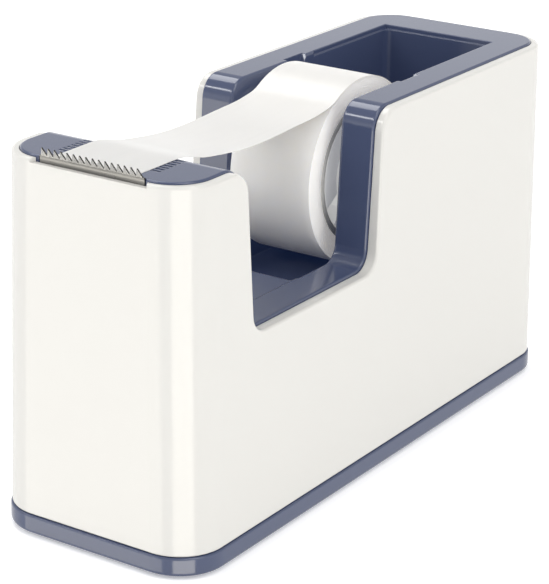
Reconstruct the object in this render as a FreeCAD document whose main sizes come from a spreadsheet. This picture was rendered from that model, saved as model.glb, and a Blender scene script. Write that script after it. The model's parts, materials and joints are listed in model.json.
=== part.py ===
"""Desktop tape dispenser: a weighted block with a roll bay, a rear pocket and a serrated cutter.

Frame: +Z up, the length runs along Y with the cutter at -Y, the width along X.
The origin is under the middle of the object, on the surface that it stands on.
Lengths are in millimetres. Every driving dimension is a cell of the sheet Dims.
"""
import FreeCAD, Part
import math
import os
import Sketcher
from FreeCAD import Placement, Rotation, Vector

DIMENSIONS = {
    # base plate and feet
    "base_w": 24.3, "base_l": 69.3, "base_corner": 10.0, "base_low": 0.6, "base_top": 4.5,
    "base_floor": 2.6, "base_round": 0.9, "lip_top": 6.3, "skin": 1.8,
    "foot_r": 5.0, "foot_tall": 1.5, "foot_x": 15.5, "foot_y": 51.0, "foot_recess_r": 5.1,
    "foot_recess_top": 1.55,
    # outer shell: half widths and lengths at its foot and at its top
    "shell_low": 4.62, "shell_low_w": 23.95, "shell_low_l": 68.95, "body_top": 76.6,
    "shell_top_w": 22.65, "shell_top_front": 67.95, "shell_top_rear": 68.9, "shell_corner": 9.55,
    "bore_w": 20.85, "bore_front": 66.8, "bore_rear": 67.5, "bore_corner": 7.75,
    "rim_round": 0.6, "edge_round": 0.4, "fine_round": 0.15,
    # notch through both sides, between the cutter tower and the roll bay
    "sill": 44.2, "notch_front_low": 47.95, "notch_front_high": 49.85,
    "notch_rear_low": 5.55, "notch_rear_high": 3.5,
    "notch_front_round": 4.0, "notch_rear_round": 3.7, "notch_top_round": 4.8,
    # the shell stands back a little from the liner along the rim and the notch
    "shell_top": 76.2, "shell_sill": 43.6, "shell_rear_low": 4.95, "shell_rear_high": 2.9,
    "shell_rear_round": 4.3,
    # cut-out for the cutter in the front edge of the shell
    "cutout_low": 75.4, "cutout_in": 12.5, "cutout_out": 13.9, "cutout_back": 66.3,
    # liner with the roll bay and the pocket behind it
    "liner_w": 20.7, "liner_rear": 67.35, "liner_front": 66.65, "liner_corner": 7.6,
    "bay_w": 13.2, "bay_front": 19.7, "bay_rear": 56.8, "bay_floor": 36.5, "liner_low": 34.5,
    "bay_corner": 1.6, "mouth_round": 0.6, "channel_deep": 0.5, "step_wide": 0.4, "step_deep": 1.0,
    "cheek_end": 27.0, "divider_y": 33.4, "divider_t": 1.6, "divider_top": 52.0,
    "void_top": 74.8, "void_in": 16.2, "void_front": 1.5, "void_wall": 2.0, "under_top": 41.9,
    "under_front": 46.0, "shelf_top": 70.4, "shelf_low": 68.4, "shelf_front": 60.0,
    "tower_wall": 2.0,
    # posts and screws
    "post_r": 3.5, "post_low": 2.7, "post_x": 14.3, "post_front_y": 42.0, "post_rear_y": 61.3,
    "post_front_top": 43.0, "post_rear_top": 60.0, "screw_r": 1.45, "screw_hole_r": 1.5,
    "screw_deep": 14.0, "screw_end": 12.6, "head_r": 2.7, "head_hole_r": 2.9, "head_low": 0.75,
    "head_tall": 1.2, "head_hole_top": 1.95, "cross_deep": 0.6, "cross_long": 1.5, "cross_t": 0.3,
    # roll axle, held in slanted slots
    "axle_y": 10.14, "axle_z": 58.55, "axle_r": 3.0, "axle_half": 14.2, "slot_r": 3.15,
    "slot_wall": 14.5, "slot_lean": 30.25, "slot_long": 40.0, "axle_chamfer": 0.4,
    # hub, core, tape
    "hub_half": 12.9, "hub_tube_r": 5.2, "hub_bore_r": 3.05, "web_r": 12.2, "web_half": 0.9,
    "lobe_r": 13.15, "lobe_in": 8.8, "lobe_half": 9.3, "lobe_gap": 2.3,
    "lobe_gap_from": 7.6, "lobe_gap_to": 15.0, "hub_turn": 55.5, "hub_lobes": 3,
    "web_hole_r": 1.3, "web_hole_at": 7.0,
    "core_in": 13.4, "core_out": 14.9, "tape_half": 9.55, "core_half": 9.5, "tape_in": 14.95,
    "tape_out": 19.5,
    # tape platform on top of the tower
    "plate_low": 75.3, "cap_low": 70.5, "cap_rear_low": 49.5, "grip_w": 11.6, "grip_first": 61.7,
    "grip_slot": 0.62, "grip_deep": 0.45, "grip_run": 8.4, "grip_count": 8, "blade_gap_w": 12.15,
    "blade_gap_y": 66.2, "blade_gap_back": 64.6, "peg_r": 0.95, "peg_x": 7.0, "peg_y": 61.0,
    "peg_low": 73.9, "cap_post_r": 3.0, "cap_post_x": 15.6, "cap_post_y": 58.0,
    "cap_screw_r": 1.2, "cap_screw_hole_r": 1.25, "cap_screw_low": 67.2, "cap_screw_top": 74.2,
    "cap_head_r": 2.3, "cap_hole_top": 74.4,
    # cutter blade
    "blade_w": 11.9, "blade_front": 66.7, "blade_t": 0.4, "blade_back": 58.2, "blade_low": 74.85,
    "tooth_low": 76.8, "tooth_top": 78.55, "tooth_lean": 0.63, "tooth_pitch": 1.44,
    "tooth_first": 11.52, "tooth_run": 23.04, "tooth_cuts": 17, "bend_round": 0.35,
    "peg_hole_r": 1.1,
    # ballast
    "weight_w": 16.5, "weight_front": 34.0, "weight_rear": 46.0, "weight_low": 2.7,
    "weight_top": 22.7, "weight_round": 2.0, "weight_screw_y1": 20.0, "weight_screw_y2": 32.0,
    # free end of the tape
    "film_t": 0.2, "film_front": 66.05, "film_rise": 0.15, "film_flat_end": 54.0, "film_w": 9.5,
    "film_gap": 0.12, "film_peel": 1.3, "film_wrap": 8.0, "sag_y": 30.0, "sag_z": 73.3,
    "sag_slope_y": 44.0, "sag_slope_z": 74.75, "sag_rise_y": 12.0, "sag_rise_z": 73.75,
    "peel_slope": 0.09,
    # how far cuts run past the faces they open
    "beyond": 20.0, "overrun": 1.0, "shank_sink": 0.2,
}

TOLERANCE = 1e-4
SNUG = 0.02
LOOSE = 0.1
WIDE = 0.3
ALONG_X, ALONG_Z = 0, 2
FULL_TURN = 360
SLENDER = 3

doc = FreeCAD.newDocument("tape_dispenser")
sheet = doc.addObject("Spreadsheet::Sheet", "Dims")
for row, (alias, number) in enumerate(DIMENSIONS.items(), start=1):
    sheet.set("A%d" % row, alias)
    sheet.set("B%d" % row, str(number))
    sheet.setAlias("B%d" % row, alias)
doc.recompute()
sub_parts = []


def size(formula):
    """The value of a sum such as '- bay_w + skin', whose words are cells of the sheet."""
    total = 0.0
    sign = 1.0
    for word in formula.split():
        if word in "+-":
            sign = 1.0 if word == "+" else -1.0
        elif word[0].isdigit():
            total += sign * float(word)
        else:
            total += sign * float(sheet.get(word))
    return total


def linked(formula):
    """The same sum as an expression that FreeCAD keeps bound to the sheet."""
    words = formula.split()
    return " ".join(w if w in "+-" or w[0].isdigit() else "Dims." + w for w in words)


def bind(thing, **formulas):
    """Binds properties to the sheet; a double underscore in a name stands for a dot."""
    for name, formula in formulas.items():
        thing.setExpression(name.replace("__", "."), linked(formula))


def keep(thing, node):
    thing.Label = node
    sub_parts.append(thing)


def new_body(node):
    body = doc.addObject("PartDesign::Body", "Body_" + node)
    keep(body, node)
    return body


def new_sketch(body, plane, height=None):
    """A sketch on one of the body's own origin planes, raised along the plane's normal."""
    sketch = body.newObject("Sketcher::SketchObject", "Sketch")
    role = plane + "_Plane"
    face = next(f for f in body.Origin.OriginFeatures if f.Role == role)
    sketch.AttachmentSupport = [(face, "")]
    sketch.MapMode = "FlatFace"
    if height:
        sketch.AttachmentOffset = Placement(Vector(0, 0, size(height)), Rotation())
        bind(sketch, AttachmentOffset__Base__z=height)
    return sketch


def pin_point(sketch, line, corner):
    """Holds the start point of a line at two bound distances from the sketch's origin."""
    for kind, formula in zip(("DistanceX", "DistanceY"), corner):
        index = sketch.addConstraint(
            Sketcher.Constraint(kind, -1, 1, line, 1, size(formula)))
        sketch.setExpression("Constraints[%d]" % index, linked(formula))


def polygon(sketch, corners):
    """A closed outline of straight lines through corners, each a pair of formulas."""
    points = [Vector(size(u), size(v), 0) for u, v in corners]
    lines = []
    for start, end in zip(points, points[1:] + points[:1]):
        lines.append(sketch.addGeometry(Part.LineSegment(start, end), False))
    for line, following in zip(lines, lines[1:] + lines[:1]):
        sketch.addConstraint(Sketcher.Constraint("Coincident", line, 2, following, 1))
    for line, corner in zip(lines, corners):
        pin_point(sketch, line, corner)
    return sketch


def rectangle(sketch, left, right, low, high):
    return polygon(sketch, [(left, low), (right, low), (right, high), (left, high)])


def rounded(sketch, left, right, low, high, radius):
    """A rectangle with round corners, all four of one radius."""
    r = size(radius)
    x0, x1, y0, y1 = (size(formula) for formula in (left, right, low, high))
    spans = [((x0 + r, y0), (x1 - r, y0)), ((x1, y0 + r), (x1, y1 - r)),
             ((x1 - r, y1), (x0 + r, y1)), ((x0, y1 - r), (x0, y0 + r))]
    centres = [(x1 - r, y0 + r), (x1 - r, y1 - r), (x0 + r, y1 - r), (x0 + r, y0 + r)]
    add = sketch.addConstraint
    sides = []
    arcs = []
    for quarter, ((start, end), centre) in enumerate(zip(spans, centres)):
        line = Part.LineSegment(Vector(*start, 0), Vector(*end, 0))
        ring = Part.Circle(Vector(*centre, 0), Vector(0, 0, 1), r)
        turn = math.pi / 2 * (quarter - 1)
        sides.append(sketch.addGeometry(line, False))
        arcs.append(sketch.addGeometry(Part.ArcOfCircle(ring, turn, turn + math.pi / 2), False))
    for side, arc, following in zip(sides, arcs, sides[1:] + sides[:1]):
        add(Sketcher.Constraint("Tangent", side, 2, arc, 1))
        add(Sketcher.Constraint("Tangent", arc, 2, following, 1))
    for arc in arcs[1:]:
        add(Sketcher.Constraint("Equal", arcs[0], arc))
    add(Sketcher.Constraint("Horizontal", sides[0]))
    add(Sketcher.Constraint("Vertical", sides[1]))
    add(Sketcher.Constraint("Vertical", sides[3]))
    bound = [
        (add(Sketcher.Constraint("DistanceY", -1, 1, sides[0], 1, y0)), low),
        (add(Sketcher.Constraint("DistanceX", -1, 1, sides[1], 1, x1)), right),
        (add(Sketcher.Constraint("DistanceY", -1, 1, sides[2], 1, y1)), high),
        (add(Sketcher.Constraint("DistanceX", -1, 1, sides[3], 1, x0)), left),
        (add(Sketcher.Constraint("Radius", arcs[0], r)), radius)]
    for index, formula in bound:
        sketch.setExpression("Constraints[%d]" % index, linked(formula))
    return sketch


def circle(sketch, radius, at=("0", "0")):
    centre = Vector(size(at[0]), size(at[1]), 0)
    ring = sketch.addGeometry(Part.Circle(centre, Vector(0, 0, 1), size(radius)), False)
    index = sketch.addConstraint(Sketcher.Constraint("Radius", ring, size(radius)))
    sketch.setExpression("Constraints[%d]" % index, linked(radius))
    for kind, formula in zip(("DistanceX", "DistanceY"), at):
        index = sketch.addConstraint(
            Sketcher.Constraint(kind, -1, 1, ring, 3, size(formula)))
        sketch.setExpression("Constraints[%d]" % index, linked(formula))
    return sketch


def add_feature(body, kind, sketch, length, both_ways=False, reverse=False):
    """A Pad or Pocket of a sketch; both_ways makes length the whole width about the sketch."""
    before = body.Shape.Volume if body.Tip else 0.0
    feature = body.newObject("PartDesign::" + kind, kind)
    feature.Profile = sketch
    feature.Midplane = both_ways
    feature.Reversed = reverse
    bind(feature, Length=length)
    doc.recompute()
    grown = body.Shape.Volume - before
    if (kind == "Pad") != (grown > TOLERANCE):
        raise RuntimeError("%s %s does nothing" % (body.Label, feature.Label))
    return feature


def pad(body, sketch, length, **ways):
    return add_feature(body, "Pad", sketch, length, **ways)


def pocket(body, sketch, length, **ways):
    return add_feature(body, "Pocket", sketch, length, **ways)


def cut_up(body, sketch, length):
    """Cuts a sketch of the XY plane upwards."""
    return pocket(body, sketch, length, reverse=True)


def edges(body, wanted):
    """Names of the edges of the body's shape that a test on (edge, centre) accepts."""
    found = []
    for index, edge in enumerate(body.Shape.Edges, start=1):
        if wanted(edge, edge.CenterOfGravity):
            found.append("Edge%d" % index)
    if not found:
        raise RuntimeError("no edge found on " + body.Label)
    return found


def dress(body, kind, wanted, amount):
    """A Fillet or Chamfer on the edges that a test accepts."""
    tip = body.Tip
    names = edges(body, wanted)
    feature = body.newObject("PartDesign::" + kind, kind)
    feature.Base = (tip, names)
    bind(feature, **{"Radius" if kind == "Fillet" else "Size": amount})
    doc.recompute()
    return feature


def fillet(body, wanted, radius):
    return dress(body, "Fillet", wanted, radius)


def runs_along(edge, axis):
    """True for an edge that keeps close to one axis: 0 is X, 1 is Y, 2 is Z."""
    box = edge.BoundBox
    spans = [box.XLength, box.YLength, box.ZLength]
    others = [span for i, span in enumerate(spans) if i != axis]
    return spans[axis] > SLENDER * max(others) + TOLERANCE


def near(a, b, reach=WIDE):
    return abs(a - b) < reach


def pattern(body, kind, source, axis_role, count, span):
    """Repeats a feature along or about one of the body's own axes."""
    repeat = body.newObject("PartDesign::" + kind, kind)
    repeat.Originals = [source]
    axis = next(f for f in body.Origin.OriginFeatures if f.Role == axis_role)
    if kind == "PolarPattern":
        repeat.Axis = (axis, [""])
        repeat.Angle = span
    else:
        repeat.Direction = (axis, [""])
        bind(repeat, Length=span)
    repeat.Occurrences = count
    body.Tip = repeat
    doc.recompute()
    return repeat


def notch_outline(sketch):
    """The notch, seen from the side, open at the top."""
    top = "shell_top + beyond"
    return polygon(sketch, [
        ("- notch_front_low", "shell_sill"), ("- shell_rear_low", "shell_sill"),
        ("- shell_rear_high", "shell_top"), ("- shell_rear_high", top),
        ("- notch_front_high", top), ("- notch_front_high", "shell_top")])


def round_notch(body):
    """Rounds the four corners of the notch on a body that it was cut from."""
    sill = size("shell_sill")
    top = size("shell_top")
    corners = [
        (size("- notch_front_low"), sill, "notch_front_round"),
        (size("- shell_rear_low"), sill, "shell_rear_round"),
        (size("- shell_rear_high"), top, "notch_top_round"),
        (size("- notch_front_high"), top, "notch_top_round")]
    for y, z, radius in corners:
        fillet(body, lambda e, c, y=y, z=z: runs_along(e, ALONG_X) and near(c.y, y) and near(c.z, z),
               radius)


def make_shell():
    """The white casing: a drafted sleeve, open above and below, with the notch and cut-out."""
    body = new_body("outer_shell")
    side = polygon(new_sketch(body, "YZ"), [
        ("- shell_low_l", "shell_low"), ("shell_low_l", "shell_low"),
        ("shell_top_rear", "shell_top"), ("- shell_top_front", "shell_top")])
    pad(body, side, "shell_low_w + shell_low_w", both_ways=True)
    for sign in ("", "- "):
        wedge = polygon(new_sketch(body, "XZ"), [
            (sign + "shell_low_w", "shell_low"), (sign + "shell_top_w", "shell_top"),
            (sign + "shell_low_w", "shell_top")])
        pocket(body, wedge, "base_l + base_l + beyond", both_ways=True)
    fillet(body, lambda e, c: runs_along(e, ALONG_Z), "shell_corner")
    fillet(body, lambda e, c: near(e.BoundBox.ZMax, size("shell_low"), SNUG), "edge_round")
    bore = rounded(new_sketch(body, "XY"), "- bore_w", "bore_w", "- bore_front", "bore_rear",
                   "bore_corner")
    cut_up(body, bore, "shell_top + beyond")
    notch = notch_outline(new_sketch(body, "YZ"))
    pocket(body, notch, "base_w + base_w + beyond", both_ways=True)
    round_notch(body)
    fillet(body, on_outer_rim, "rim_round")
    cutout = polygon(new_sketch(body, "XY", "cutout_low"), [
        ("- cutout_in", "- cutout_back"), ("cutout_in", "- cutout_back"),
        ("cutout_out", "- base_l"), ("- cutout_out", "- base_l")])
    cut_up(body, cutout, "beyond")
    return body


def on_outer_rim(edge, centre):
    """True for an edge of the shell's top rim that lies on its outer side."""
    half = size("shell_top_w + bore_w") / 2
    rear = size("shell_top_rear + bore_rear") / 2
    front = -size("shell_top_front + bore_front") / 2
    outside = abs(centre.x) > half or not front < centre.y < rear
    return near(centre.z, size("shell_top"), LOOSE) and outside


def liner_profile(sketch):
    """Side view of the liner: pocket and bay block, sill, tower wall and its screw shelf."""
    return polygon(sketch, [
        ("liner_rear", "liner_low"), ("liner_rear", "body_top"),
        ("- notch_rear_high", "body_top"), ("- notch_rear_low", "sill"),
        ("- notch_front_low", "sill"), ("- cap_rear_low", "shelf_top"),
        ("- shelf_front", "shelf_top"), ("- shelf_front", "shelf_low"),
        ("- cap_rear_low - tower_wall", "shelf_low"),
        ("- notch_front_low - tower_wall", "liner_low")])


def cut_bay(body):
    """The roll bay and the pocket, one well with a stepped mouth over the pocket."""
    well = rounded(new_sketch(body, "XY", "bay_floor"), "- bay_w", "bay_w",
                   "- bay_front", "bay_rear", "bay_corner")
    cut_up(body, well, "body_top")
    fillet(body, on_bay_mouth, "mouth_round")
    mouth = rectangle(new_sketch(body, "XY", "body_top - step_deep"), "- bay_w - step_wide",
                      "bay_w + step_wide", "cheek_end", "bay_rear + step_wide")
    cut_up(body, mouth, "beyond")
    fillet(body, on_pocket_mouth, "fine_round")
    channel = rectangle(new_sketch(body, "XY", "sill - channel_deep"), "- bay_w", "bay_w",
                        "- notch_front_low + notch_front_round", "- bay_front + overrun")
    cut_up(body, channel, "beyond")


def on_pocket_mouth(edge, centre):
    """True for an inner edge of the rim around the pocket."""
    across = near(centre.y, size("bay_rear + step_wide"), SNUG)
    along = near(abs(centre.x), size("bay_w + step_wide"), SNUG)
    return near(centre.z, size("body_top"), SNUG) and (across or along)


def on_bay_mouth(edge, centre):
    """True for the upright edges where the bay's side walls meet the pillars' front faces."""
    at_wall = near(abs(centre.x), size("bay_w"), SNUG)
    return at_wall and runs_along(edge, ALONG_Z) and size("- notch_rear_low - overrun") < centre.y < 0


def cut_axle_slots(body):
    """A slanted slot in each cheek, from the axle's seat up to the rim."""
    seat = circle(slot_sketch(body), "slot_r")
    pocket(body, seat, "slot_wall + slot_wall", both_ways=True)
    run = rectangle(slot_sketch(body), "- slot_r", "slot_r", "0", "slot_long")
    pocket(body, run, "slot_wall + slot_wall", both_ways=True)


def slot_sketch(body):
    """A sketch with its origin on the axle and its upright axis along the slot."""
    sketch = new_sketch(body, "YZ")
    sketch.AttachmentOffset = Placement(
        Vector(size("axle_y"), size("axle_z"), 0), Rotation(Vector(0, 0, -1), size("slot_lean")))
    bind(sketch, AttachmentOffset__Base__x="axle_y", AttachmentOffset__Base__y="axle_z",
         AttachmentOffset__Rotation__Angle="slot_lean")
    return sketch


def hollow_liner(body):
    """Empties the pillars, the rear wall and the space under the sill from below."""
    skin_x = "liner_w - skin"
    pillars = polygon(new_sketch(body, "XY"), [
        ("- liner_w + skin", "- void_front"), ("- void_in", "- void_front"),
        ("- void_in", "bay_rear + void_wall"), ("void_in", "bay_rear + void_wall"),
        ("void_in", "- void_front"), (skin_x, "- void_front"),
        (skin_x, "liner_rear - skin"), ("- liner_w + skin", "liner_rear - skin")])
    cut_up(body, pillars, "void_top")
    under = polygon(new_sketch(body, "XY"), [
        ("- liner_w + skin", "- under_front"), (skin_x, "- under_front"),
        (skin_x, "- void_front"), ("void_in", "- void_front"),
        ("void_in", "- bay_front - void_wall"), ("- void_in", "- bay_front - void_wall"),
        ("- void_in", "- void_front"), ("- liner_w + skin", "- void_front")])
    cut_up(body, under, "under_top")


def add_posts(body):
    """Four screw posts that reach down to the base plate."""
    for y, top in (("- post_front_y", "post_front_top"), ("post_rear_y", "post_rear_top")):
        for x in ("- post_x", "post_x"):
            foot = circle(new_sketch(body, "XY", "post_low"), "post_r", (x, y))
            pad(body, foot, top + " - post_low")
            pilot = circle(new_sketch(body, "XY"), "screw_hole_r", (x, y))
            cut_up(body, pilot, "screw_deep")


def make_liner():
    """The blue-grey moulding with the sill, the roll bay, the axle slots and the pocket."""
    body = new_body("liner")
    pad(body, liner_profile(new_sketch(body, "YZ")), "liner_w + liner_w", both_ways=True)
    sill = size("sill")
    for y, z, radius in ((size("- notch_front_low"), sill, "notch_front_round"),
                         (size("- notch_rear_low"), sill, "notch_rear_round"),
                         (size("- notch_rear_high"), size("body_top"), "notch_top_round")):
        fillet(body, lambda e, c, y=y, z=z: runs_along(e, ALONG_X) and near(c.y, y) and near(c.z, z),
               radius)
    fillet(body, lambda e, c: runs_along(e, ALONG_Z) and near(c.y, size("liner_rear"), LOOSE),
           "liner_corner")
    fillet(body, on_liner_rim, "edge_round")
    hollow_liner(body)
    cut_bay(body)
    divider = rectangle(new_sketch(body, "XY", "bay_floor"), "- bay_w - overrun", "bay_w + overrun",
                        "divider_y", "divider_y + divider_t")
    pad(body, divider, "divider_top - bay_floor")
    cut_axle_slots(body)
    add_posts(body)
    for x in ("- cap_post_x", "cap_post_x"):
        hole = circle(new_sketch(body, "XY"), "cap_screw_hole_r", (x, "- cap_post_y"))
        cut_up(body, hole, "body_top")
    return body


def on_liner_rim(edge, centre):
    """True for an edge of the liner's top contour, from the sill over the pillars to the rear."""
    box = edge.BoundBox
    at_side = box.XLength < TOLERANCE and near(abs(centre.x), size("liner_w"), SNUG)
    on_top = near(box.ZMin, size("body_top"), SNUG) and not runs_along(edge, ALONG_X)
    at_rear = runs_along(edge, ALONG_X) and near(centre.y, size("liner_rear"), SNUG)
    return box.ZMin > size("sill") - TOLERANCE and (
        (at_side and centre.y > -size("under_front")) or on_top
        or (at_rear and near(centre.z, size("body_top"), SNUG)))


def on_cap_contour(edge, centre):
    """True for an edge of the platform's top, other than the one over the bay."""
    over_bay = runs_along(edge, ALONG_X) and centre.y > size("- cap_post_y")
    return near(centre.z, size("body_top"), SNUG) and not over_bay


def make_platform():
    """The cap of the tower, which the tape lies on: grip grooves and a seat for the blade."""
    body = new_body("tape_platform")
    side = polygon(new_sketch(body, "YZ"), [
        ("- liner_front", "cap_low"), ("- liner_front", "body_top"),
        ("- notch_front_high", "body_top"), ("- cap_rear_low", "cap_low")])
    pad(body, side, "liner_w + liner_w", both_ways=True)
    fillet(body, lambda e, c: runs_along(e, ALONG_X) and near(c.y, size("- notch_front_high"), LOOSE)
           and near(c.z, size("body_top"), LOOSE), "notch_top_round")
    fillet(body, lambda e, c: runs_along(e, ALONG_Z) and near(c.y, size("- liner_front"), LOOSE),
           "liner_corner")
    fillet(body, on_cap_contour, "edge_round")
    hollow = rectangle(new_sketch(body, "XY"), "- liner_w + skin", "liner_w - skin",
                       "- blade_gap_back", "- notch_front_high - skin - skin")
    cut_up(body, hollow, "plate_low")
    for x in ("- cap_post_x", "cap_post_x"):
        post = circle(new_sketch(body, "XY", "cap_low"), "cap_post_r", (x, "- cap_post_y"))
        pad(body, post, "plate_low - cap_low")
        hole = circle(new_sketch(body, "XY"), "cap_screw_hole_r", (x, "- cap_post_y"))
        cut_up(body, hole, "cap_hole_top")
    for x in ("- peg_x", "peg_x"):
        peg = circle(new_sketch(body, "XY", "peg_low"), "peg_r", (x, "- peg_y"))
        pad(body, peg, "plate_low - peg_low")
    front = rectangle(new_sketch(body, "XY"), "- blade_gap_w", "blade_gap_w",
                      "- liner_front - overrun", "- blade_gap_y")
    cut_up(body, front, "body_top + beyond")
    under = rectangle(new_sketch(body, "XY"), "- blade_gap_w", "blade_gap_w",
                      "- liner_front - overrun", "- blade_gap_back + overrun")
    cut_up(body, under, "plate_low")
    groove = rectangle(new_sketch(body, "XY", "body_top - grip_deep"), "- grip_w", "grip_w",
                       "- grip_first", "- grip_first + grip_slot")
    first = cut_up(body, groove, "beyond")
    pattern(body, "LinearPattern", first, "Y_Axis", int(size("grip_count")), "grip_run")
    return body


def make_blade():
    """A bent steel strip whose upper edge leans forward and is cut into teeth."""
    body = new_body("cutter_blade")
    lean_front = "- blade_front - tooth_lean"
    side = polygon(new_sketch(body, "YZ"), [
        ("- blade_back", "blade_low"), ("- blade_front", "blade_low"),
        ("- blade_front", "tooth_low"), (lean_front, "tooth_top"),
        (lean_front + " + blade_t", "tooth_top"), ("- blade_front + blade_t", "tooth_low"),
        ("- blade_front + blade_t", "blade_low + blade_t"),
        ("- blade_back", "blade_low + blade_t")])
    pad(body, side, "blade_w + blade_w", both_ways=True)
    fillet(body, lambda e, c: runs_along(e, ALONG_X) and near(c.y, size("- blade_front"), LOOSE)
           and near(c.z, size("blade_low"), LOOSE), "bend_round")
    gully = polygon(new_sketch(body, "XZ"), [
        ("- tooth_first", "tooth_low"), ("- tooth_first + tooth_pitch", "tooth_top + tooth_top "
         "- tooth_low"), ("- tooth_first - tooth_pitch", "tooth_top + tooth_top - tooth_low")])
    first = pocket(body, gully, "base_l + base_l + beyond", both_ways=True)
    pattern(body, "LinearPattern", first, "X_Axis", int(size("tooth_cuts")), "tooth_run")
    for x in ("- peg_x", "peg_x"):
        hole = circle(new_sketch(body, "XY"), "peg_hole_r", (x, "- peg_y"))
        cut_up(body, hole, "body_top")
    return body


def make_base():
    """The base plate: a tray with a locating lip, foot recesses and counterbored holes."""
    body = new_body("base_plate")
    plate = rounded(new_sketch(body, "XY", "base_low"), "- base_w", "base_w",
                    "- base_l", "base_l", "base_corner")
    pad(body, plate, "base_top - base_low")
    fillet(body, lambda e, c: near(c.z, size("base_low"), SNUG), "base_round")
    fillet(body, lambda e, c: near(c.z, size("base_top"), SNUG), "edge_round")
    lip = rounded(new_sketch(body, "XY", "base_top"), "- liner_w", "liner_w",
                  "- liner_front", "liner_rear", "liner_corner")
    pad(body, lip, "lip_top - base_top")
    tray = rounded(new_sketch(body, "XY", "base_floor"), "- liner_w + skin", "liner_w - skin",
                   "- liner_front + skin", "liner_rear - skin", "liner_corner - skin")
    cut_up(body, tray, "beyond")
    for x in ("- foot_x", "foot_x"):
        for y in ("- foot_y", "foot_y"):
            recess = circle(new_sketch(body, "XY"), "foot_recess_r", (x, y))
            cut_up(body, recess, "foot_recess_top")
    for x, y in base_screw_places() + ballast_screw_places():
        bore = circle(new_sketch(body, "XY"), "head_hole_r", (x, y))
        cut_up(body, bore, "head_hole_top")
        hole = circle(new_sketch(body, "XY"), "screw_hole_r", (x, y))
        cut_up(body, hole, "beyond")
    return body


def base_screw_places():
    return [(x, y) for y in ("- post_front_y", "post_rear_y") for x in ("- post_x", "post_x")]


def ballast_screw_places():
    return [("0", "- weight_screw_y1"), ("0", "weight_screw_y2")]


def make_ballast():
    """The cast weight that keeps the dispenser from tipping or sliding."""
    body = new_body("ballast")
    foot = rounded(new_sketch(body, "XY", "weight_low"), "- weight_w", "weight_w",
                   "- weight_front", "weight_rear", "weight_round")
    pad(body, foot, "weight_top - weight_low")
    dress(body, "Chamfer", lambda e, c: near(c.z, size("weight_top"), SNUG), "axle_chamfer")
    for x, y in ballast_screw_places():
        hole = circle(new_sketch(body, "XY"), "screw_hole_r", (x, y))
        cut_up(body, hole, "screw_deep")
    return body


def at_place(thing, x="0", y="0", z="0"):
    bind(thing, Placement__Base__x=x, Placement__Base__y=y, Placement__Base__z=z)
    return thing


def cylinder(radius, height, x, y, z):
    thing = doc.addObject("Part::Cylinder", "Cylinder")
    bind(thing, Radius=radius, Height=height)
    return at_place(thing, x, y, z)


def box(across, along, tall, x, y, z):
    thing = doc.addObject("Part::Box", "Box")
    bind(thing, Length=across, Width=along, Height=tall)
    return at_place(thing, x, y, z)


def joined(kind, things):
    result = doc.addObject("Part::" + kind, kind)
    if kind == "Cut":
        result.Base, result.Tool = things
    elif kind == "MultiFuse":
        result.Shapes = things
    else:
        result.Links = things
    return result


def screw(x, y, head_low, head_radius, shank_radius, shank_end):
    """A pan-head screw driven upwards, with a cross recess in its head."""
    head = cylinder(head_radius, "head_tall", x, y, head_low)
    shank = cylinder(shank_radius, shank_end + " - " + head_low + " - head_tall + shank_sink",
                     x, y, head_low + " + head_tall - shank_sink")
    long_arm = "cross_long + cross_long"
    thin_arm = "cross_t + cross_t"
    recess = joined("MultiFuse", [
        box(long_arm, thin_arm, "cross_deep", x + " - cross_long", y + " - cross_t", head_low),
        box(thin_arm, long_arm, "cross_deep", x + " - cross_t", y + " - cross_long", head_low)])
    return joined("Cut", [joined("MultiFuse", [head, shank]), recess])


def make_screws():
    """Screws of the base plate, the ballast and the platform, each kind as one group."""
    groups = {
        "base_screws": [screw(x, y, "head_low", "head_r", "screw_r", "screw_end")
                        for x, y in base_screw_places()],
        "ballast_screws": [screw(x, y, "head_low", "head_r", "screw_r", "screw_end")
                           for x, y in ballast_screw_places()],
        "platform_screws": [screw(x, "- cap_post_y", "cap_screw_low", "cap_head_r",
                                  "cap_screw_r", "cap_screw_top")
                            for x in ("- cap_post_x", "cap_post_x")]}
    for node, screws in groups.items():
        keep(joined("Compound", screws), node)


def make_feet():
    """Four rubber discs set into the underside of the base plate."""
    for end, y in (("front", "- foot_y"), ("rear", "foot_y")):
        for hand, x in (("left", "- foot_x"), ("right", "foot_x")):
            keep(cylinder("foot_r", "foot_tall", x, y, "0"), "foot_%s_%s" % (end, hand))


def on_axle(thing, half_length):
    """Turns a cylinder to lie along X, centred on the roll's axle."""
    thing.Placement = Placement(Vector(), Rotation(Vector(0, 1, 0), 90))
    return at_place(thing, "- " + half_length, "axle_y", "axle_z")


def ring(outer, inner, half_length, node):
    """A tube about the roll's axle."""
    length = half_length + " + " + half_length
    tubes = [on_axle(cylinder(radius, length, "0", "0", "0"), half_length)
             for radius in (outer, inner)]
    keep(joined("Cut", tubes), node)


def make_axle():
    """The steel pin whose chamfered ends lie in the slots of the liner."""
    body = new_body("axle_pin")
    pad(body, circle(new_sketch(body, "YZ"), "axle_r"), "axle_half + axle_half", both_ways=True)
    dress(body, "Chamfer", lambda e, c: near(abs(c.x), size("axle_half"), LOOSE), "axle_chamfer")
    at_place(body, "0", "axle_y", "axle_z")


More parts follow.
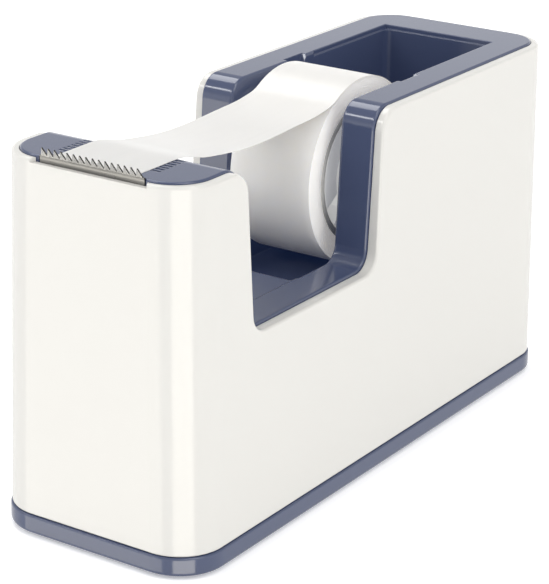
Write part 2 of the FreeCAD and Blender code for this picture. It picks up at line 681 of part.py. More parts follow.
def make_hub():
    """The moulded wheel on the axle: a tube, a web and three curved lobes in the core."""
    body = new_body("tape_hub")
    pad(body, circle(new_sketch(body, "YZ"), "web_r"), "web_half + web_half", both_ways=True)
    lobes = circle(circle(new_sketch(body, "YZ"), "lobe_r"), "lobe_in")
    pad(body, lobes, "lobe_half + lobe_half", both_ways=True)
    pad(body, circle(new_sketch(body, "YZ"), "hub_tube_r"), "hub_half + hub_half",
        both_ways=True)
    gap = rectangle(new_sketch(body, "YZ"), "- lobe_gap", "lobe_gap", "- lobe_gap_to",
                    "- lobe_gap_from")
    first_gap = pocket(body, gap, "hub_half + hub_half", both_ways=True)
    pattern(body, "PolarPattern", first_gap, "X_Axis", int(size("hub_lobes")), FULL_TURN)
    hole = circle(new_sketch(body, "YZ"), "web_hole_r", ("0", "web_hole_at"))
    first_hole = pocket(body, hole, "hub_half + hub_half", both_ways=True)
    pattern(body, "PolarPattern", first_hole, "X_Axis", int(size("hub_lobes")), FULL_TURN)
    bore = circle(new_sketch(body, "YZ"), "hub_bore_r")
    pocket(body, bore, "hub_half + hub_half + overrun", both_ways=True)
    body.Placement = Placement(Vector(), Rotation(Vector(-1, 0, 0), size("hub_turn")))
    bind(body, Placement__Rotation__Angle="hub_turn")
    at_place(body, "0", "axle_y", "axle_z")


def make_leader():
    """The free end of the tape: it peels off the roll, sags, and lies on the platform."""
    radius = size("tape_out + film_gap") + size("film_t") / 2
    centre_y, centre_z = size("axle_y"), size("axle_z")

    def on_roll(y):
        return Vector(0, y, centre_z + (radius ** 2 - (y - centre_y) ** 2) ** 0.5)

    flat_z = size("body_top + film_rise")
    start = Vector(0, size("- film_front"), flat_z)
    flat_end = Vector(0, size("- film_flat_end"), flat_z)
    peel = on_roll(size("- film_peel"))
    wrap_end = on_roll(size("film_wrap"))
    sag = Part.BSplineCurve()
    sag.interpolate(
        Points=[flat_end, Vector(0, size("- sag_slope_y"), size("sag_slope_z")),
                Vector(0, size("- sag_y"), size("sag_z")),
                Vector(0, size("- sag_rise_y"), size("sag_rise_z")), peel],
        InitialTangent=Vector(0, 1, 0), FinalTangent=Vector(0, 1, size("peel_slope")))
    middle = on_roll((size("film_wrap") - size("film_peel")) / 2)
    path = Part.Wire([Part.LineSegment(start, flat_end).toShape(), sag.toShape(),
                      Part.Arc(peel, middle, wrap_end).toShape()])
    strip = path.extrude(Vector(size("film_w") * 2, 0, 0))
    strip.translate(Vector(-size("film_w"), 0, 0))
    film = doc.addObject("Part::Feature", "Film")
    film.Shape = strip.makeOffsetShape(size("film_t"), TOLERANCE, fill=True, join=2)
    film.Placement = Placement()
    keep(film, "tape_leader")


def check_and_write():
    """Stops if any object failed, then writes one STEP file for each sub-part."""
    doc.recompute()
    for thing in doc.Objects:
        if "Invalid" in thing.State or "Error" in thing.State:
            raise RuntimeError("%s failed: %s" % (thing.Label, thing.State))
    os.makedirs("parts", exist_ok=True)
    for thing in sub_parts:
        shape = thing.Shape
        if shape.isNull() or not shape.isValid() or not shape.Solids:
            raise RuntimeError("%s has no valid solid" % thing.Label)
        shape.exportStep("parts/%s.step" % thing.Label)
        print("%-18s %2d solid(s) %10.1f mm3" % (thing.Label, len(shape.Solids), shape.Volume))


make_shell()
make_liner()
make_platform()
make_blade()
make_base()
make_ballast()
make_screws()
make_feet()
make_axle()
make_hub()
ring("core_out", "core_in", "core_half", "tape_core")
ring("tape_out", "tape_in", "tape_half", "tape_roll")
make_leader()
check_and_write()
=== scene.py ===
import json
import math

import bpy
from mathutils import Matrix, Vector


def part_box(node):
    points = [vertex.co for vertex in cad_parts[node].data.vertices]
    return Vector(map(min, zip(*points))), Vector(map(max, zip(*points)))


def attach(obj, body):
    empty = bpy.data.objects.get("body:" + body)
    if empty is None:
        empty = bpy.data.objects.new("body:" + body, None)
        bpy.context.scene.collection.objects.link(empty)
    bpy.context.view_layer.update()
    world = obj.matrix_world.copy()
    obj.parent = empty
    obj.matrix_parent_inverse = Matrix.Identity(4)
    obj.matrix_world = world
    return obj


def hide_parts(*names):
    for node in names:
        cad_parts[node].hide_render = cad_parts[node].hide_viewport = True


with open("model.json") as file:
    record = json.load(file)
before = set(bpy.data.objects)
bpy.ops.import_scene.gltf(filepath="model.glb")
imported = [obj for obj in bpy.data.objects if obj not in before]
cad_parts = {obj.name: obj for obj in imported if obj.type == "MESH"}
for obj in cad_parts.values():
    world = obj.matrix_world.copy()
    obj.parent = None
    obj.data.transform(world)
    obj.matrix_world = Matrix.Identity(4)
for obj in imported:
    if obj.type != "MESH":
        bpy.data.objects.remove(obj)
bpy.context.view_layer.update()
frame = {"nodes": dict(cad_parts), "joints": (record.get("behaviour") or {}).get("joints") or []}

MM = 0.001
scene = bpy.context.scene
nodes = frame["nodes"]
spin = next(joint for joint in frame["joints"] if joint["name"] == "roll_spin")
AXLE = Vector(spin["pos_m"])


# ---------------------------------------------------------------- materials

class Shade:
    """A material with one Principled shader, and short ways to add nodes to it."""

    def __init__(self, name, **values):
        self.material = bpy.data.materials.new(name)
        self.material.use_nodes = True
        self.tree = self.material.node_tree
        self.shader = self.tree.nodes["Principled BSDF"]
        for key, value in values.items():
            self.shader.inputs[key.replace("_", " ")].default_value = value
        self.place = self.tree.nodes.new("ShaderNodeTexCoord").outputs["Object"]

    def node(self, kind, links=None, **settings):
        made = self.tree.nodes.new("ShaderNode" + kind)
        for key, value in settings.items():
            if hasattr(made, key):
                setattr(made, key, value)
            else:
                made.inputs[key.replace("_", " ")].default_value = value
        for key, source in (links or {}).items():
            self.tree.links.new(source, made.inputs[key])
        return made

    def link(self, source, socket):
        self.tree.links.new(source, self.shader.inputs[socket])

    def stretched(self, x, y, z):
        """The object's own coordinates, scaled along each axis."""
        return self.node("Mapping", {"Vector": self.place}, Scale=(x, y, z)).outputs[0]

    def noise(self, scale, detail=2.0, rough=0.5, at=None):
        made = self.node("TexNoise", {"Vector": at or self.place},
                         Scale=scale, Detail=detail, Roughness=rough)
        return made.outputs["Fac"]

    def spread(self, source, low, high, start=0.3, end=0.7):
        """Maps the middle of a noise to a range of values."""
        made = self.node("MapRange", {"Value": source})
        made.inputs["From Min"].default_value = start
        made.inputs["From Max"].default_value = end
        made.inputs["To Min"].default_value = low
        made.inputs["To Max"].default_value = high
        return made.outputs["Result"]

    def ramp(self, source, *stops):
        made = self.node("ValToRGB", {"Fac": source})
        points = made.color_ramp.elements
        while len(points) < len(stops):
            points.new(0.5)
        for point, (position, colour) in zip(points, stops):
            point.position = position
            point.color = (*colour, 1.0)
        return made.outputs["Color"]

    def facing(self, axis):
        """How squarely the surface faces along an axis of the object, from 0 to 1."""
        normal = self.node("TexCoord").outputs["Normal"]
        part = self.node("SeparateXYZ", {"Vector": normal}).outputs[axis]
        return self.node("Math", {0: part}, operation="ABSOLUTE").outputs[0]

    def glow(self, colour, strength):
        """A little light of the surface's own, an emission that no lamp gives."""
        self.shader.inputs["Emission Color"].default_value = (*colour, 1.0)
        self.shader.inputs["Emission Strength"].default_value = strength

    def bump(self, *layers, rounded=0.0):
        """Stacks bumps, each a height source, its strength and its depth in millimetres.

        Where rounded is given, edges are shaded as if rounded by that many millimetres.
        """
        normal = None
        if rounded:
            normal = self.node("Bevel", samples=6, Radius=rounded * MM).outputs[0]
        for height, strength, depth in layers:
            links = {"Height": height}
            if normal:
                links["Normal"] = normal
            normal = self.node("Bump", links, Strength=strength, Distance=depth * MM).outputs[0]
        self.link(normal, "Normal")


def moulded_plastic(name, light, dark, roughness, rounded=0.0, glow=(0.0, 0.0, 0.0),
                    shine=0.5):
    """Injection-moulded plastic: faint tone drift, uneven gloss, very fine surface grain."""
    shade = Shade(name, IOR=1.5, Specular_IOR_Level=shine)
    # glow is painted light: an emission that lifts the plastic's shade where no lamp reaches it
    shade.glow(glow, 1.0)
    drift = shade.noise(14, 1)
    clouds = shade.noise(60, 3)
    waves = shade.noise(18, 0)
    grain = shade.noise(2200, 2)
    shade.link(shade.ramp(drift, (0.0, dark), (1.0, light)), "Base Color")
    shade.link(shade.spread(clouds, roughness * 0.8, roughness * 1.2, 0.0, 1.0), "Roughness")
    shade.bump((waves, 0.03, 0.3), (grain, 0.05, 0.01), rounded=rounded)
    return shade.material


def steel(name, colour, roughness, grain):
    """Bright steel with the fine drawn lines of rolled or turned stock."""
    shade = Shade(name, Metallic=1.0, Anisotropic=0.4)
    lines = shade.noise(900, 3, 0.6, shade.stretched(*grain))
    clouds = shade.noise(60, 3)
    darker = tuple(channel * 0.86 for channel in colour)
    shade.link(shade.ramp(clouds, (0.3, darker), (0.7, colour)), "Base Color")
    shade.link(shade.spread(lines, roughness * 0.7, roughness * 1.4), "Roughness")
    shade.bump((lines, 0.12, 0.02))
    return shade.material


# painted glow: how much lighter the free end gets over the roll, and from which to which place
# along Y
PAINTED_BACKING_GLOW = 0.13
PAINTED_GLOW_RUN = (-0.020, 0.004)


def tape_film(name, light, dark, roughness, along, through, depth, painted_edge_glow):
    """Satin film: soft streaks along its run, and some light that passes through it.

    The film edges on a roll's side faces get a painted glow in place of light running inside the
    layers;
    the free end gets a painted glow where the roll backs it.
    """
    shade = Shade(name, IOR=1.47, Subsurface_Weight=through, Subsurface_Scale=depth * MM,
                  Sheen_Weight=0.05)
    shade.shader.inputs["Subsurface Radius"].default_value = (1.0, 0.95, 0.85)
    streaks = shade.noise(500, 2, 0.5, shade.stretched(*along))
    shade.link(shade.ramp(streaks, (0.1, dark), (0.9, light)), "Base Color")
    gloss = shade.noise(80, 2)
    shade.link(shade.spread(gloss, roughness * 0.8, roughness * 1.25, 0.0, 1.0), "Roughness")
    ripples = shade.noise(70, 1)
    shade.bump((ripples, 0.05, 0.15), (streaks, 0.04, 0.02))
    # painted glow in the film's light colour: on a roll's side faces where they face the axle's
    # way, on the free end over the roll
    shade.glow(light, 0.0)
    if painted_edge_glow:
        shine = shade.spread(shade.facing("X"), 0.03, painted_edge_glow, 0.2, 0.9)
    else:
        along_y = shade.node("SeparateXYZ", {"Vector": shade.place}).outputs["Y"]
        shine = shade.spread(along_y, 0.0, PAINTED_BACKING_GLOW, *PAINTED_GLOW_RUN)
    shade.link(shine, "Emission Strength")
    return shade.material


def card(name, light, dark):
    """Paper board: matte, with fibres and a slightly uneven face."""
    shade = Shade(name, Roughness=0.85, Specular_IOR_Level=0.3)
    fibres = shade.noise(900, 5, 0.65)
    dents = shade.noise(120, 2)
    shade.link(shade.ramp(fibres, (0.3, dark), (0.7, light)), "Base Color")
    shade.bump((fibres, 0.25, 0.05), (dents, 0.15, 0.08))
    return shade.material


def cast_iron(name):
    """Rough dark casting, duller and deeper where it is pitted."""
    shade = Shade(name, Metallic=0.6, Specular_IOR_Level=0.4)
    pits = shade.noise(420, 6, 0.7)
    shade.link(shade.ramp(pits, (0.3, (0.05, 0.05, 0.055)), (0.7, (0.13, 0.13, 0.135))),
               "Base Color")
    shade.link(shade.spread(pits, 0.75, 0.5), "Roughness")
    shade.bump((pits, 0.6, 0.3))
    return shade.material


def rubber(name):
    """Matte black rubber with a fine grain."""
    shade = Shade(name, Specular_IOR_Level=0.35)
    grain = shade.noise(1500, 4)
    shade.link(shade.ramp(grain, (0.3, (0.018, 0.018, 0.02)), (0.7, (0.04, 0.04, 0.043))),
               "Base Color")
    shade.link(shade.spread(grain, 0.7, 0.9), "Roughness")
    shade.bump((grain, 0.35, 0.05))
    return shade.material


WHITE = moulded_plastic("white_plastic", (0.680, 0.668, 0.634), (0.668, 0.657, 0.626), 0.16)
# the slate's faint blue glow is painted light that lifts its shade towards blue
SLATE = moulded_plastic("slate_plastic", (0.062, 0.076, 0.131), (0.055, 0.068, 0.120), 0.12,
                        rounded=0.35, glow=(0.002, 0.005, 0.018), shine=0.65)
# the hub's grey glow is painted light that makes it lighter than its lamps leave it
HUB = moulded_plastic("hub_plastic", (0.76, 0.76, 0.75), (0.72, 0.72, 0.71), 0.42,
                      rounded=0.2, glow=(0.19, 0.19, 0.19))
# the drawn steel is a darker copy of the ground steel, painted shade; the near-black sheared
# steel is painted shade on the cut edges
BLADE_SHADE = steel("blade_steel", (0.32, 0.315, 0.305), 0.30, (0.08, 1.0, 1.0))
GROUND = steel("ground_steel", (0.66, 0.65, 0.63), 0.24, (1.0, 1.0, 0.08))
SHEARED_SHADE = steel("sheared_steel_painted_shade", (0.07, 0.069, 0.066), 0.42, (1.0, 1.0, 1.0))
PIN = steel("axle_steel", (0.72, 0.72, 0.72), 0.18, (0.1, 1.0, 1.0))
SCREWS = steel("screw_steel", (0.62, 0.62, 0.60), 0.30, (1.0, 1.0, 0.3))
# the free end glows over the roll and the wound film on its side faces, both painted glow
FILM = tape_film("leader_film", (0.73, 0.715, 0.68), (0.705, 0.69, 0.66), 0.34,
                 along=(1.0, 0.05, 0.3), through=0.3, depth=1.0, painted_edge_glow=0.0)
WOUND = tape_film("wound_film", (0.94, 0.90, 0.85), (0.92, 0.88, 0.83), 0.30,
                  along=(1.0, 0.1, 0.1), through=0.8, depth=6.0, painted_edge_glow=0.24)
CARD = card("core_card", (0.62, 0.61, 0.58), (0.54, 0.53, 0.50))

CAD_LOOKS = {
    "outer_shell": WHITE, "liner": SLATE, "tape_platform": SLATE, "base_plate": SLATE,
    "ballast": cast_iron("ballast_iron"), "base_screws": SCREWS,
    "ballast_screws": SCREWS, "platform_screws": SCREWS, "axle_pin": PIN, "tape_hub": HUB}
for node, look in CAD_LOOKS.items():
    mesh = nodes[node].data
    mesh.materials.clear()
    mesh.materials.append(look)


# ---------------------------------------------------------------- mesh helpers

def mesh_piece(name, points, faces, material, body, replaced, sharp=40, kinds=None):
    """A piece from points in metres and faces, smooth but for edges over an angle.

    Where there are several materials, kinds gives the number of each face's own.
    """
    mesh = bpy.data.meshes.new(name)
    mesh.from_pydata(points, [], faces)
    mesh.validate()
    mesh.polygons.foreach_set("use_smooth", [True] * len(mesh.polygons))
    mesh.set_sharp_from_angle(angle=math.radians(sharp))
    for look in (material if kinds else [material]):
        mesh.materials.append(look)
    if kinds:
        mesh.polygons.foreach_set("material_index", kinds)
    piece = bpy.data.objects.new(name, mesh)
    scene.collection.objects.link(piece)
    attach(piece, body)
    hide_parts(replaced)
    return piece


def soften(piece, millimetres, segments=2, angle=40):
    """A small bevel on every edge sharper than an angle."""
    bevel = piece.modifiers.new("soft_edges", "BEVEL")
    bevel.width = millimetres * MM
    bevel.segments = segments
    bevel.limit_method = "ANGLE"
    bevel.angle_limit = math.radians(angle)
    bevel.harden_normals = True


def grid_faces(rows, columns, close_rows=False, close_columns=False):
    """Quads over a grid of points laid out row by row."""
    faces = []
    for row in range(rows if close_rows else rows - 1):
        for column in range(columns if close_columns else columns - 1):
            below = (row + 1) % rows
            beside = (column + 1) % columns
            faces.append((row * columns + column, below * columns + column,
                          below * columns + beside, row * columns + beside))
    return faces


def turned(profile, centre, axis, turns=160):
    """Points and faces of a closed profile of (radius, along) pairs turned about an axis."""
    points = []
    for step in range(turns):
        angle = 2 * math.pi * step / turns
        for radius, along in profile:
            offset = (radius * math.cos(angle), radius * math.sin(angle))
            if axis == "x":
                points.append(centre + Vector((along, offset[0], offset[1])))
            else:
                points.append(centre + Vector((offset[0], offset[1], along)))
    return points, grid_faces(turns, len(profile), True, True)


def rounded_corner(centre, radius, start, end, steps=5):
    """Points of an arc in a profile; angles in degrees."""
    arc = []
    for step in range(steps + 1):
        angle = math.radians(start + (end - start) * step / steps)
        arc.append((centre[0] + radius * math.cos(angle), centre[1] + radius * math.sin(angle)))
    return arc


# ---------------------------------------------------------------- the tape

def tube_size(node):
    """Outer radius and half length of a node that lies along the axle."""
    low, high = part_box(node)
    return (high.z - low.z) / 2, (high.x - low.x) / 2


def wound_profile(outer, inner, half, layers=26, depth=0.018 * MM):
    """Section of the wound tape: its side faces step in and out with the layers of film."""
    faces = []
    run = outer - inner
    for layer in range(layers):
        near = outer - run * layer / layers
        far = outer - run * (layer + 1) / layers
        lift = depth * (math.sin(layer * 2.4) + 0.6 * math.sin(layer * 5.1 + 1.0))
        edge = half - 0.03 * MM + lift
        faces += [(near - 0.02 * MM, edge), ((near + far) / 2, edge + 0.012 * MM),
                  (far + 0.02 * MM, edge)]
    right = [(outer, half - 0.12 * MM)] + faces
    left = [(radius, -along) for radius, along in reversed(right)]
    return right + left


CORE_R, CORE_HALF = tube_size("tape_core")
ROLL_R, ROLL_HALF = tube_size("tape_roll")
CORE_WALL = 1.5 * MM
CORE_EDGE = 0.35 * MM
# clearance between the core and the tape wound on it
CORE_GAP = 0.03 * MM


def wound_tape():
    profile = wound_profile(ROLL_R, CORE_R + CORE_GAP, ROLL_HALF)
    points, faces = turned(profile, AXLE, "x", 240)
    mesh_piece("wound_tape", points, faces, WOUND, "roll", "tape_roll", 50)


def card_core():
    edge = CORE_EDGE
    outer, inner = CORE_R - edge, CORE_R - CORE_WALL + edge
    right, left = CORE_HALF - edge, edge - CORE_HALF
    profile = (rounded_corner((outer, right), edge, 0, 90)
               + rounded_corner((inner, right), edge, 90, 180)
               + rounded_corner((inner, left), edge, 180, 270)
               + rounded_corner((outer, left), edge, 270, 360))
    points, faces = turned(profile, AXLE, "x")
    mesh_piece("card_core", points, faces, CARD, "roll", "tape_core", 60)


wound_tape()
card_core()


# half the free end's thickness, and how high its middle runs over the platform and the roll
FILM_HALF = 0.05 * MM
FILM_OVER_PLATFORM = 0.06 * MM
FILM_OVER_ROLL = 0.09 * MM
# how far round the roll it lies, and how far it settles towards the roll on the way
FILM_WRAP = math.radians(150)
FILM_SETTLES = 0.07 * MM
# along Y: where it stops lying flat, where it starts to sag, and where it meets the roll
FILM_FLAT_TO = -0.0605
FILM_SAGS_FROM = -0.0540
FILM_MEETS_ROLL = 0.0005
# (y, z) of the sagging stretch
FILM_SAG = ((-0.0440, 0.07470), (-0.0300, 0.07325), (-0.0120, 0.07370), (-0.0050, 0.07420))


def cubic(start, end, slope_start, slope_end, t):
    """A point between two (y, z) points, on the cubic that has a given slope at each."""
    span = end[0] - start[0]
    from_start = 2 * t ** 3 - 3 * t ** 2 + 1
    turn_start = t ** 3 - 2 * t ** 2 + t
    from_end = 3 * t ** 2 - 2 * t ** 3
    turn_end = t ** 3 - t ** 2
    return (start[0] + span * t,
            from_start * start[1] + turn_start * span * slope_start
            + from_end * end[1] + turn_end * span * slope_end)


def film_path():
    """The run of the film's middle line in the YZ plane, from the cutter to the roll."""
    cutter_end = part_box("tape_leader")[0].y
    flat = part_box("tape_platform")[1].z + FILM_OVER_PLATFORM
    radius = ROLL_R + FILM_OVER_ROLL
    rise = math.sqrt(radius ** 2 - (FILM_MEETS_ROLL - AXLE.y) ** 2)
    level = [(cutter_end, flat), (FILM_FLAT_TO, flat), (FILM_SAGS_FROM, flat + 0.02 * MM)]
    stops = [*level, *FILM_SAG, (FILM_MEETS_ROLL, AXLE.z + rise)]
    slopes = [0.0] * len(level)
    for before, after in zip(stops[len(level) - 1:], stops[len(level) + 1:]):
        slopes.append((after[1] - before[1]) / (after[0] - before[0]))
    slopes.append((AXLE.y - FILM_MEETS_ROLL) / rise)
    run = []
    for index, (start, end) in enumerate(zip(stops, stops[1:])):
        steps = max(4, round((end[0] - start[0]) / (0.8 * MM)))
        run += [cubic(start, end, slopes[index], slopes[index + 1], step / steps)
                for step in range(steps)]
    start_angle = math.atan2(rise, FILM_MEETS_ROLL - AXLE.y)
    steps = 60
    for step in range(steps + 1):
        angle = start_angle - FILM_WRAP * step / steps
        reach = radius - FILM_SETTLES * step / steps
        run.append((AXLE.y + reach * math.cos(angle), AXLE.z + reach * math.sin(angle)))
    return run


def film():
    """The free end of the tape, a thin strip with a cut edge like the one that teeth leave."""
    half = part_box("tape_leader")[1].x
    run = film_path()
    across = 48
    notches = 13
    notch_depth = 0.8 * MM
    notched_rows = 3
    points = []
    for side in (1, -1):
        for row, (y, z) in enumerate(run):
            ahead = Vector(run[min(row + 1, len(run) - 1)])
            behind = Vector(run[max(row - 1, 0)])
            tangent = (ahead - behind).normalized()
            offset = Vector((-tangent.y, tangent.x)) * side * FILM_HALF
            for column in range(across + 1):
                u = column / across
                cut = 0.0
                if row < notched_rows:
                    wave = abs(((u * notches) % 1.0) - 0.5) * 2
                    cut = wave * notch_depth * (1 - row / notched_rows)
                points.append((half * (2 * u - 1), y + cut + offset.x, z + offset.y))
    columns = across + 1
    rows = len(run)
    faces = grid_faces(rows, columns)
    shift = rows * columns
    faces += [tuple(shift + corner for corner in reversed(face)) for face in faces]
    rim = ([row * columns for row in range(rows)]
           + [(rows - 1) * columns + column for column in range(1, columns)]
           + [row * columns + columns - 1 for row in range(rows - 2, -1, -1)]
           + [column for column in range(columns - 2, 0, -1)])
    for here, there in zip(rim, rim[1:] + rim[:1]):
        faces.append((here, there, shift + there, shift + here))
    mesh_piece("tape_free_end", points, faces, FILM, "axle", "tape_leader", 50)


film()


# ---------------------------------------------------------------- the cutter

TEETH = 16
TOOTH_PITCH = 1.44 * MM
TOOTH_HEIGHT = 1.75 * MM
BLADE_THICK = 0.4 * MM
# radius of the bend between the flange and the upright face, on its outer side
BLADE_BEND = 0.55 * MM
# how far the tips stand in front of the upright face in the CAD, and how much further here
TIP_REACH = 0.63 * MM
TIP_EXTRA = 0.25 * MM
# the strip tips forward this far below the roots of the teeth
LEAN_START = 0.42 * MM
# numbers of the blade's three looks; the drawn face and the sheared edges are darker copies of
# the steel, painted shade
DRAWN_SHADE_FACE, GROUND_FACE, SHEARED_SHADE_FACE = 0, 1, 2


def blade_section(low, high):
    """The strip's section from the flange's rear edge up to the roots of the teeth.

    Each row is (y, z) on the outer side and (y, z) on the inner side.
    """
    thick = BLADE_THICK
    front = low.y + TIP_REACH
    root = high.z - TOOTH_HEIGHT
    bend = root - LEAN_START
    lean = (front - low.y) / (high.z - bend) * (root - bend)
    rows = [(high.y, low.z, high.y, low.z + thick),
            (front + BLADE_BEND, low.z, front + BLADE_BEND, low.z + thick)]
    steps = 6
    for step in range(1, steps + 1):
        angle = math.radians(90 * step / steps)
        row = ()
        for radius in (BLADE_BEND, BLADE_BEND - thick):
            row += (front + BLADE_BEND - radius * math.sin(angle),
                    low.z + BLADE_BEND - radius * math.cos(angle))
        rows.append(row)
    # two rows close together, for a crisp fold where the strip starts to lean
    rows.append((front, bend - 0.08 * MM, front + thick, bend - 0.03 * MM))
    rows.append((front - 0.02 * MM, bend + 0.04 * MM,
                 front + thick - 0.01 * MM, bend + 0.09 * MM))
    rows.append((front - lean, root, front + thick - lean, root))
    return rows


def blade():
    """The bent steel strip: a flange under the platform, an upright face, leaning teeth."""
    low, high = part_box("cutter_blade")
    rows = blade_section(low, high)
    first = -TEETH * TOOTH_PITCH / 2
    roots = [first + TOOTH_PITCH / 2 * step for step in range(2 * TEETH + 1)]
    xs = [-high.x, *roots, high.x]
    points = []
    index = {}
    for side in (0, 1):
        for r, row in enumerate(rows):
            for c, x in enumerate(xs):
                index[side, r, c] = len(points)
                points.append((x, row[2 * side], row[2 * side + 1]))
    for side in (0, 1):
        tip_y = low.y - TIP_EXTRA + side * BLADE_THICK
        for tooth in range(TEETH):
            index[side, "tip", tooth] = len(points)
            points.append((first + TOOTH_PITCH * (tooth + 0.5), tip_y, high.z))
    faces, kinds = [], []

    def add(kind, *corners):
        faces.append([index[corner] for corner in corners])
        kinds.append(kind)

    top = len(rows) - 1
    last = len(xs) - 1
    for r in range(top):
        for c in range(last):
            add(DRAWN_SHADE_FACE, (0, r, c), (0, r, c + 1), (0, r + 1, c + 1), (0, r + 1, c))
            add(DRAWN_SHADE_FACE, (1, r, c), (1, r + 1, c), (1, r + 1, c + 1), (1, r, c + 1))
        add(SHEARED_SHADE_FACE, (0, r, 0), (0, r + 1, 0), (1, r + 1, 0), (1, r, 0))
        add(SHEARED_SHADE_FACE, (0, r, last), (1, r, last), (1, r + 1, last), (0, r + 1, last))
    for c in range(last):
        add(SHEARED_SHADE_FACE, (0, 0, c), (1, 0, c), (1, 0, c + 1), (0, 0, c + 1))
    for c in (0, last - 1):
        add(SHEARED_SHADE_FACE, (0, top, c), (0, top, c + 1), (1, top, c + 1), (1, top, c))
    for tooth in range(TEETH):
        left = 1 + 2 * tooth
        tip, tip_back = (0, "tip", tooth), (1, "tip", tooth)
        for c in (left, left + 1):
            add(GROUND_FACE, (0, top, c), (0, top, c + 1), tip)
            add(GROUND_FACE, (1, top, c), tip_back, (1, top, c + 1))
        add(SHEARED_SHADE_FACE, (0, top, left), tip, tip_back, (1, top, left))
        add(SHEARED_SHADE_FACE, (0, top, left + 2), (1, top, left + 2), tip_back, tip)
    piece = mesh_piece("toothed_blade", points, faces, [BLADE_SHADE, GROUND, SHEARED_SHADE], "housing",
                       "cutter_blade", 25, kinds)
    soften(piece, 0.03)


blade()


# ---------------------------------------------------------------- feet

FOOT_EDGE = 0.4 * MM
# a shallow dish in the underside, and the shares of the radius where its slope starts and ends
FOOT_DISH = 0.18 * MM
DISH_FLAT, DISH_RIM = 0.62, 0.68
# the turned profile keeps this far from its axis
AXIS_GAP = 0.02 * MM


def feet():
    look = rubber("foot_rubber")
    for node in ("foot_front_left", "foot_front_right", "foot_rear_left", "foot_rear_right"):
        low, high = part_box(node)
        radius = (high.x - low.x) / 2
        height = high.z - low.z
        centre = Vector(((low.x + high.x) / 2, (low.y + high.y) / 2, low.z))
        profile = ([(AXIS_GAP, height), (AXIS_GAP, FOOT_DISH),
                    (radius * DISH_FLAT, FOOT_DISH), (radius * DISH_RIM, 0.0)]
                   + rounded_corner((radius - FOOT_EDGE, FOOT_EDGE), FOOT_EDGE, -90, 0)
                   + [(radius, height)])
        points, faces = turned(profile, centre, "z", 72)
        mesh_piece("rubber_" + node, points, faces, look, "housing", node)


feet()


# ---------------------------------------------------------------- floor, light, camera

WARM = (1.0, 0.95, 0.84)
PLAIN = (1.0, 1.0, 1.0)
FLOOR_HALF = 6.0
FLOOR_DARK, FLOOR_LIGHT = (0.93, 0.93, 0.93), (0.95, 0.95, 0.95)
# a little light of its own keeps the far floor as white as the near one
FLOOR_GLOW = 0.31


def flat_floor():
    """A plain pale floor that glossy reflections look through."""
    half = FLOOR_HALF
    corners = [(-half, -half, 0), (half, -half, 0), (half, half, 0), (-half, half, 0)]
    mesh = bpy.data.meshes.new("floor")
    mesh.from_pydata(corners, [], [(0, 1, 2, 3)])
    shade = Shade("floor_paper", Roughness=0.9, Specular_IOR_Level=0.1)
    tone = shade.ramp(shade.noise(6, 3), (0.3, FLOOR_DARK), (0.7, FLOOR_LIGHT))
    shade.link(tone, "Base Color")
    shade.glow(PLAIN, FLOOR_GLOW)
    mesh.materials.append(shade.material)
    floor = bpy.data.objects.new("floor", mesh)
    floor.visible_glossy = False
    scene.collection.objects.link(floor)


# brightness of the surroundings, and its share at heights from straight down to straight up
SKY = 1.32
SKY_STOPS = ((-1.0, 0.5), (-0.4, 0.75), (0.0, 1.0), (0.19, 0.90), (0.32, 0.50), (0.62, 0.42))
# name, bearing from -Y towards +X, elevation, distance, width, height, radiance, tint;
# the last two lie below the floor, and show only as reflections on the upright faces
PANELS = (
    ("key_line", -41, 38, 1.30, 1.00, 0.10, 11.0, PLAIN),
    ("overhead", -114, 55, 1.30, 0.60, 0.60, 4.0, PLAIN),
    ("fill", 75, 42, 1.30, 0.60, 0.60, 3.0, PLAIN),
    ("zenith", 70, 72, 1.30, 0.50, 0.50, 4.0, PLAIN),
    ("front_glow", -28, -22, 1.20, 0.95, 0.70, 1.7, WARM),
    ("corner_glow", 42, -22, 1.20, 0.90, 0.70, 3.9, WARM))
LIT_POINT = Vector((0.0, 0.0, 0.04))


def direction(bearing, elevation):
    """The way towards a bearing from -Y towards +X and a height, both in degrees."""
    a, e = math.radians(bearing), math.radians(elevation)
    return Vector((math.sin(a) * math.cos(e), -math.cos(a) * math.cos(e), math.sin(e)))


def soft_light(name, place, target, width, height, power, tint):
    """A rectangular panel that faces a point and that the camera doesn't see."""
    light = bpy.data.lights.new(name, "AREA")
    light.shape = "RECTANGLE"
    light.size = width
    light.size_y = height
    light.energy = power
    light.color = tint
    made = bpy.data.objects.new(name, light)
    made.location = place
    made.rotation_euler = (target - place).to_track_quat("-Z", "Y").to_euler()
    made.visible_camera = False
    scene.collection.objects.link(made)


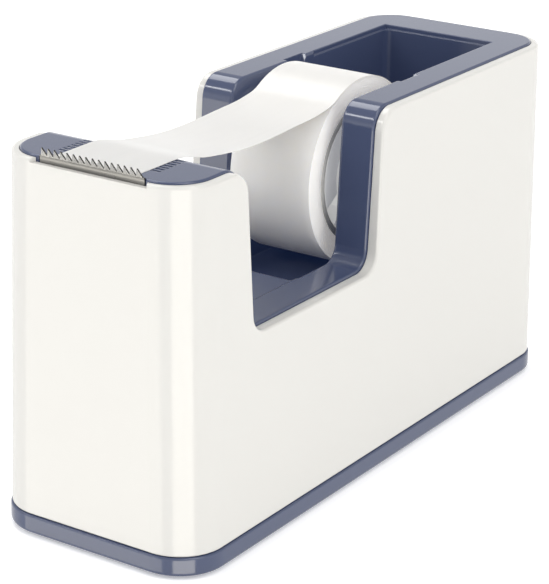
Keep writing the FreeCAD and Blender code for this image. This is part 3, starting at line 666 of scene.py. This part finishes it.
def studio():
    """A sky that is brightest near the horizon, and the panels around the part."""
    world = bpy.data.worlds.new("studio")
    scene.world = world
    world.use_nodes = True
    tree = world.node_tree
    place = tree.nodes.new("ShaderNodeTexCoord")
    split = tree.nodes.new("ShaderNodeSeparateXYZ")
    rise = tree.nodes.new("ShaderNodeMapRange")
    rise.inputs["From Min"].default_value = -1.0
    ramp = tree.nodes.new("ShaderNodeValToRGB")
    tree.links.new(place.outputs["Generated"], split.inputs[0])
    tree.links.new(split.outputs["Z"], rise.inputs["Value"])
    tree.links.new(rise.outputs["Result"], ramp.inputs["Fac"])
    tree.links.new(ramp.outputs["Color"], tree.nodes["Background"].inputs["Color"])
    tree.nodes["Background"].inputs["Strength"].default_value = SKY
    points = ramp.color_ramp.elements
    while len(points) < len(SKY_STOPS):
        points.new(0.5)
    for point, (height, share) in zip(points, SKY_STOPS):
        point.position = (height + 1) / 2
        point.color = (share, share, share, 1.0)
    for name, bearing, elevation, reach, width, height, radiance, tint in PANELS:
        place = LIT_POINT + direction(bearing, elevation) * reach
        power = radiance * math.pi * width * height
        soft_light(name, place, LIT_POINT, width, height, power, tint)
    scene.view_settings.view_transform = "Standard"


CAMERA_BEARING, CAMERA_ELEVATION, CAMERA_ROLL = 33.6, 20.41, 0.82
CAMERA_DISTANCE = 0.4812
CAMERA_TARGET = Vector((-0.00452, 0.0, 0.03166))
SENSOR_MM, LENS_MM = 36.0, 141.44


def photo_camera():
    """A camera at the photograph's viewing angle, with its slight roll."""
    back = direction(CAMERA_BEARING, CAMERA_ELEVATION)
    roll = math.radians(CAMERA_ROLL)
    level = (-back).cross(Vector((0, 0, 1))).normalized()
    upright = level.cross(-back)
    right = level * math.cos(roll) + upright * math.sin(roll)
    up = upright * math.cos(roll) - level * math.sin(roll)
    data = bpy.data.cameras.new("camera")
    data.sensor_width = SENSOR_MM
    data.lens = LENS_MM
    data.clip_start = 0.01
    data.clip_end = 50.0
    camera = bpy.data.objects.new("camera", data)
    turn = Matrix((right, up, back)).transposed()
    place = CAMERA_TARGET + back * CAMERA_DISTANCE
    camera.matrix_world = Matrix.Translation(place) @ turn.to_4x4()
    scene.collection.objects.link(camera)
    scene.camera = camera


flat_floor()
studio()
photo_camera()
